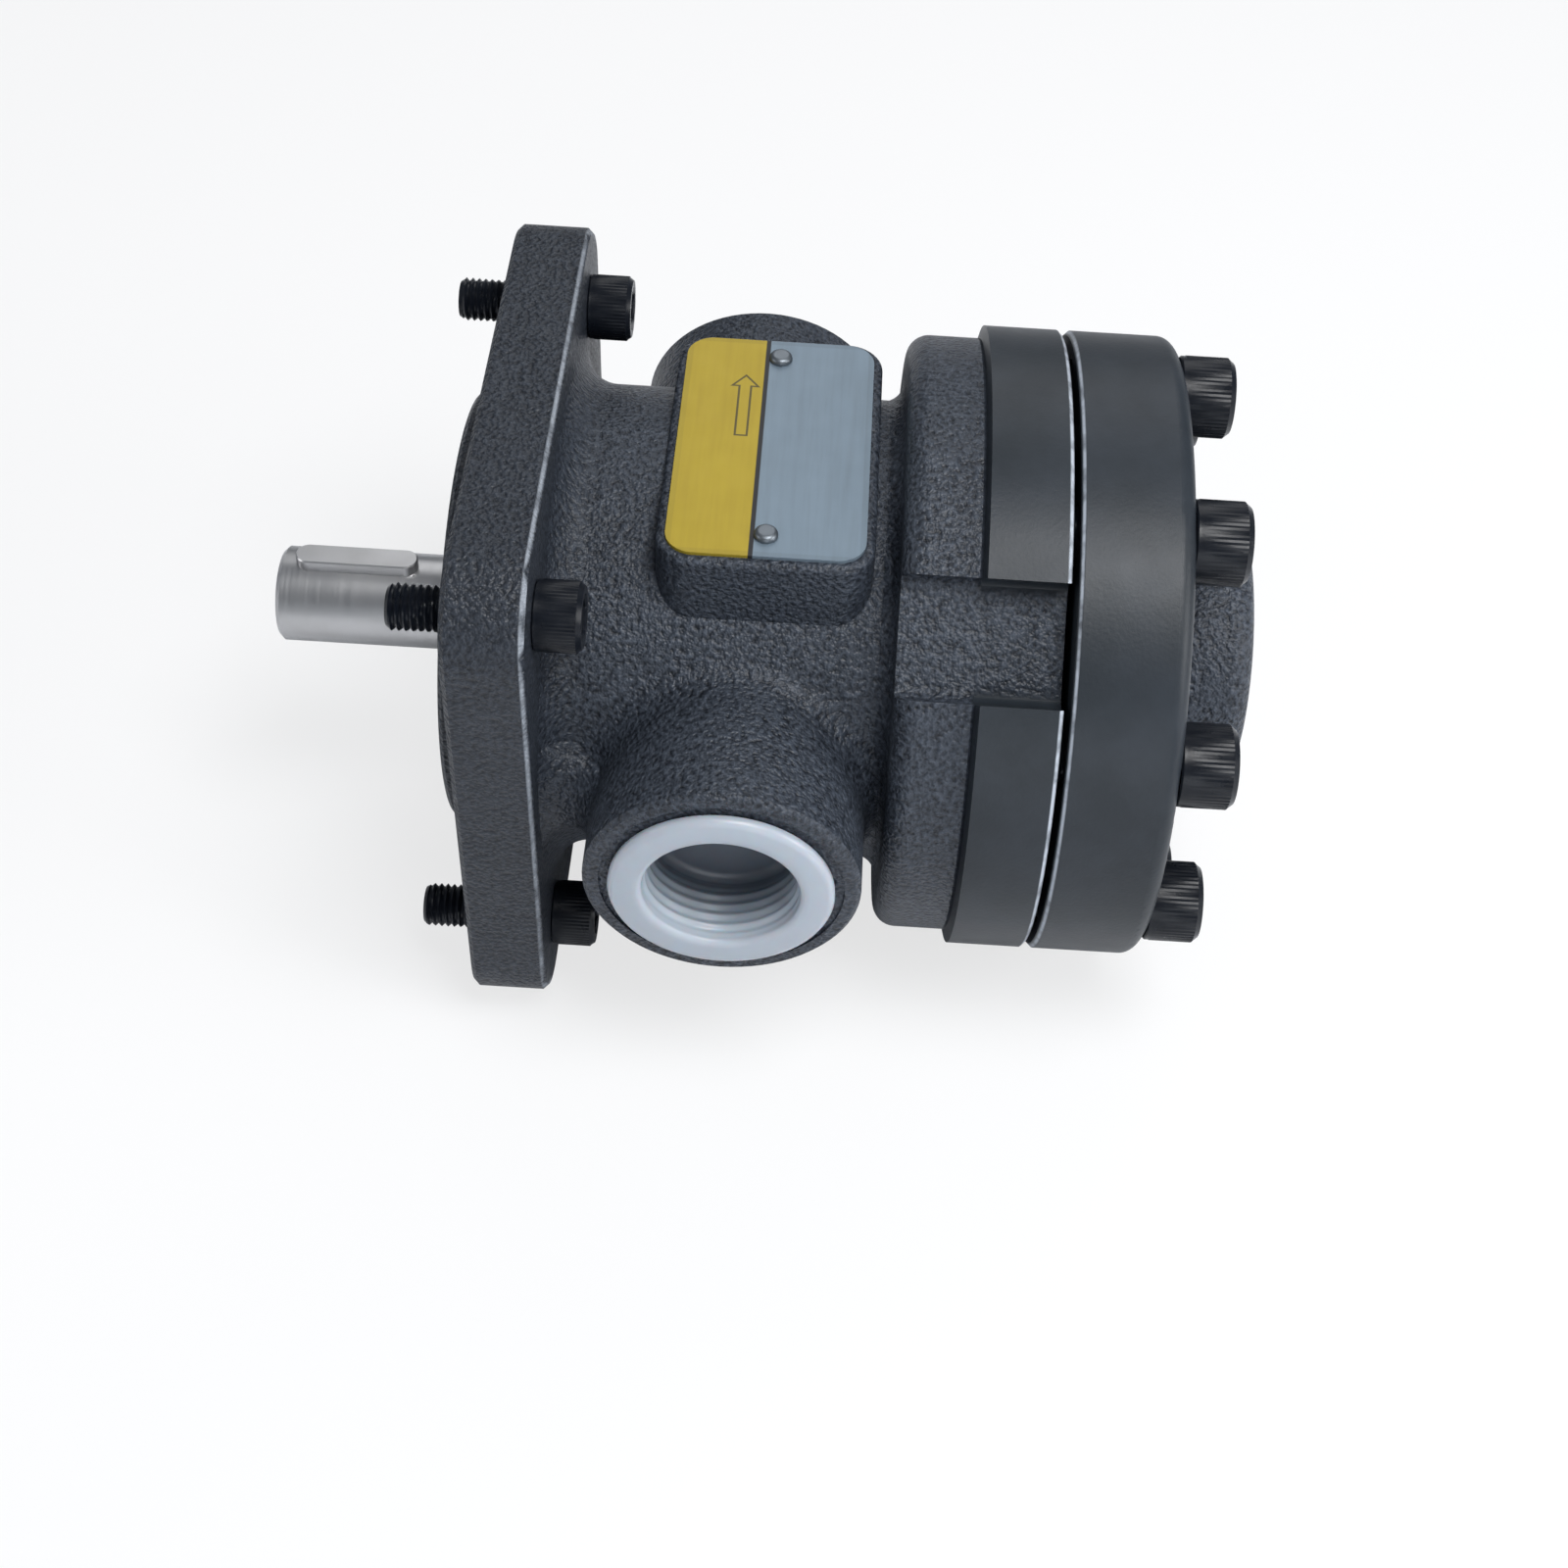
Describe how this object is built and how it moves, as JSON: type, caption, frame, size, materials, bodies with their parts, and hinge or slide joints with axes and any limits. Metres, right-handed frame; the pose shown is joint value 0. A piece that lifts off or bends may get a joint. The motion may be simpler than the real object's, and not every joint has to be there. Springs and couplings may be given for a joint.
{
  "type": "hydraulic vane pump",
  "caption": "Flange-mounted hydraulic vane pump with a keyed shaft, opposed side ports, a raised name plate pad and a bolted round rear cover.",
  "frame": {"origin": "where the shaft axis meets the flange's mounting face, at the root of the pilot spigot", "axes": "+X along the shaft axis from the flange to the rear cover, -Y out of the suction port, +Z out of the name plate"},
  "size_m": [0.221, 0.1584, 0.143],
  "materials": {
    "paint": "semi-gloss charcoal paint on cast iron",
    "black_steel": "black oxide",
    "steel": "ground",
    "iron": "machined",
    "rubber": "smooth",
    "plate": "satin, two-tone",
    "plug": "translucent white polyethylene"
  },
  "bodies": {
    "housing": {"pump_body": "paint", "rear_cover": "paint", "cover_bolts": "black_steel", "flange_screws": "black_steel", "bearing_circlip": "black_steel", "cam_ring": "steel", "locating_pins": "steel", "front_bearing_outer_race": "steel", "rear_bearing_shell": "steel", "shaft_seal_spring": "steel", "shaft_seal_case": "steel", "name_plate_screws": "steel", "front_side_plate": "iron", "rear_side_plate": "iron", "cover_o_ring": "rubber", "side_plate_o_ring": "rubber", "shaft_seal_lip": "rubber", "name_plate": "plate"},
    "shaft": {"drive_shaft": "steel", "shaft_key": "steel", "rotor": "steel", "front_bearing_inner_race": "steel", "shaft_circlip": "black_steel"},
    "ball_set": {"front_bearing_balls": "steel", "front_bearing_cage": "steel"},
    "needle_set": {"rear_bearing_needles": "steel", "rear_bearing_cage": "steel"},
    "suction_plug": {"suction_port_plug": "plug"},
    "vane_01_body": {"vane_01": "steel"},
    "vane_02_body": {"vane_02": "steel"},
    "vane_03_body": {"vane_03": "steel"},
    "vane_04_body": {"vane_04": "steel"},
    "vane_05_body": {"vane_05": "steel"},
    "vane_06_body": {"vane_06": "steel"},
    "vane_07_body": {"vane_07": "steel"},
    "vane_08_body": {"vane_08": "steel"},
    "vane_09_body": {"vane_09": "steel"},
    "vane_10_body": {"vane_10": "steel"},
    "vane_11_body": {"vane_11": "steel"},
    "vane_12_body": {"vane_12": "steel"}
  },
  "joints": [
    {"name": "shaft_spin", "type": "hinge", "parent": "housing", "child": "shaft", "pos_m": [0, 0, 0], "axis": [1, 0, 0], "continuous": true},
    {"name": "ball_set_spin", "type": "hinge", "parent": "housing", "child": "ball_set", "pos_m": [0, 0, 0], "axis": [1, 0, 0], "continuous": true},
    {"name": "needle_set_spin", "type": "hinge", "parent": "housing", "child": "needle_set", "pos_m": [0, 0, 0], "axis": [1, 0, 0], "continuous": true},
    {"name": "suction_plug_pull", "type": "slide", "parent": "housing", "child": "suction_plug", "axis": [0, -1, 0], "range_m": [0, 0.03]},
    {"name": "vane_01_slide", "type": "slide", "parent": "shaft", "child": "vane_01_body", "axis": [0, 0.9659, 0.2588], "range_m": [0, 0.00257]},
    {"name": "vane_02_slide", "type": "slide", "parent": "shaft", "child": "vane_02_body", "axis": [0, 0.7071, 0.7071], "range_m": [0, 0.0034]},
    {"name": "vane_03_slide", "type": "slide", "parent": "shaft", "child": "vane_03_body", "axis": [0, 0.2588, 0.9659], "range_m": [0, 0.00257]},
    {"name": "vane_04_slide", "type": "slide", "parent": "shaft", "child": "vane_04_body", "axis": [0, -0.2588, 0.9659], "range_m": [0, 0.00107]},
    {"name": "vane_05_slide", "type": "slide", "parent": "shaft", "child": "vane_05_body", "axis": [0, -0.7071, 0.7071], "range_m": [0, 0.0004]},
    {"name": "vane_06_slide", "type": "slide", "parent": "shaft", "child": "vane_06_body", "axis": [0, -0.9659, 0.2588], "range_m": [0, 0.00107]},
    {"name": "vane_07_slide", "type": "slide", "parent": "shaft", "child": "vane_07_body", "axis": [0, -0.9659, -0.2588], "range_m": [0, 0.00257]},
    {"name": "vane_08_slide", "type": "slide", "parent": "shaft", "child": "vane_08_body", "axis": [0, -0.7071, -0.7071], "range_m": [0, 0.0034]},
    {"name": "vane_09_slide", "type": "slide", "parent": "shaft", "child": "vane_09_body", "axis": [0, -0.2588, -0.9659], "range_m": [0, 0.00257]},
    {"name": "vane_10_slide", "type": "slide", "parent": "shaft", "child": "vane_10_body", "axis": [0, 0.2588, -0.9659], "range_m": [0, 0.00107]},
    {"name": "vane_11_slide", "type": "slide", "parent": "shaft", "child": "vane_11_body", "axis": [0, 0.7071, -0.7071], "range_m": [0, 0.0004]},
    {"name": "vane_12_slide", "type": "slide", "parent": "shaft", "child": "vane_12_body", "axis": [0, 0.9659, -0.2588], "range_m": [0, 0.00107]}
  ],
  "couplings": [
    {"joint": "ball_set_spin", "follows": "shaft_spin", "ratio": 0.39688},
    {"joint": "needle_set_spin", "follows": "shaft_spin", "ratio": 0.45393}
  ]
}
